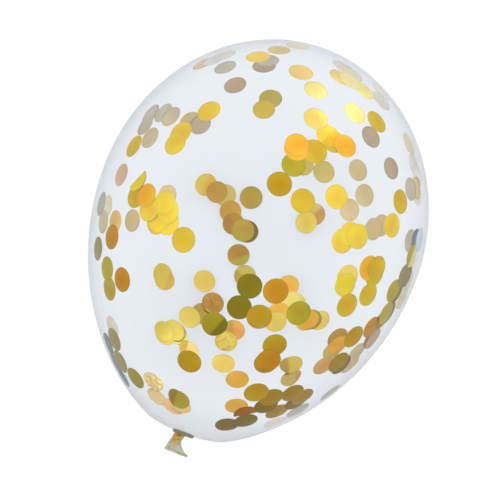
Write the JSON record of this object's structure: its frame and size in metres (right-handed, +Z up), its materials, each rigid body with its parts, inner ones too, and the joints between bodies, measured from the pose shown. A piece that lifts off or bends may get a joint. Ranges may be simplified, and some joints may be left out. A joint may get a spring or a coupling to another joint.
{
  "type": "confetti balloon",
  "caption": "Clear latex balloon with loose gold foil confetti sealed inside, knotted, lying on its side on a small flat spot.",
  "frame": {"origin": "on the surface that the balloon lies on, under the middle of its length and width", "axes": "+Y along the balloon's axis towards the crown, +Z up from the surface that it lies on"},
  "size_m": [0.296, 0.3848, 0.2933],
  "materials": {
    "clear_latex": "clear glossy film with a faint milky blue cast, amber where it is gathered at the knot",
    "confetti_foil": "gold lacquered metallised film, paler on its back"
  },
  "bodies": {
    "root": {"balloon": "clear_latex"}
  },
  "joints": []
}
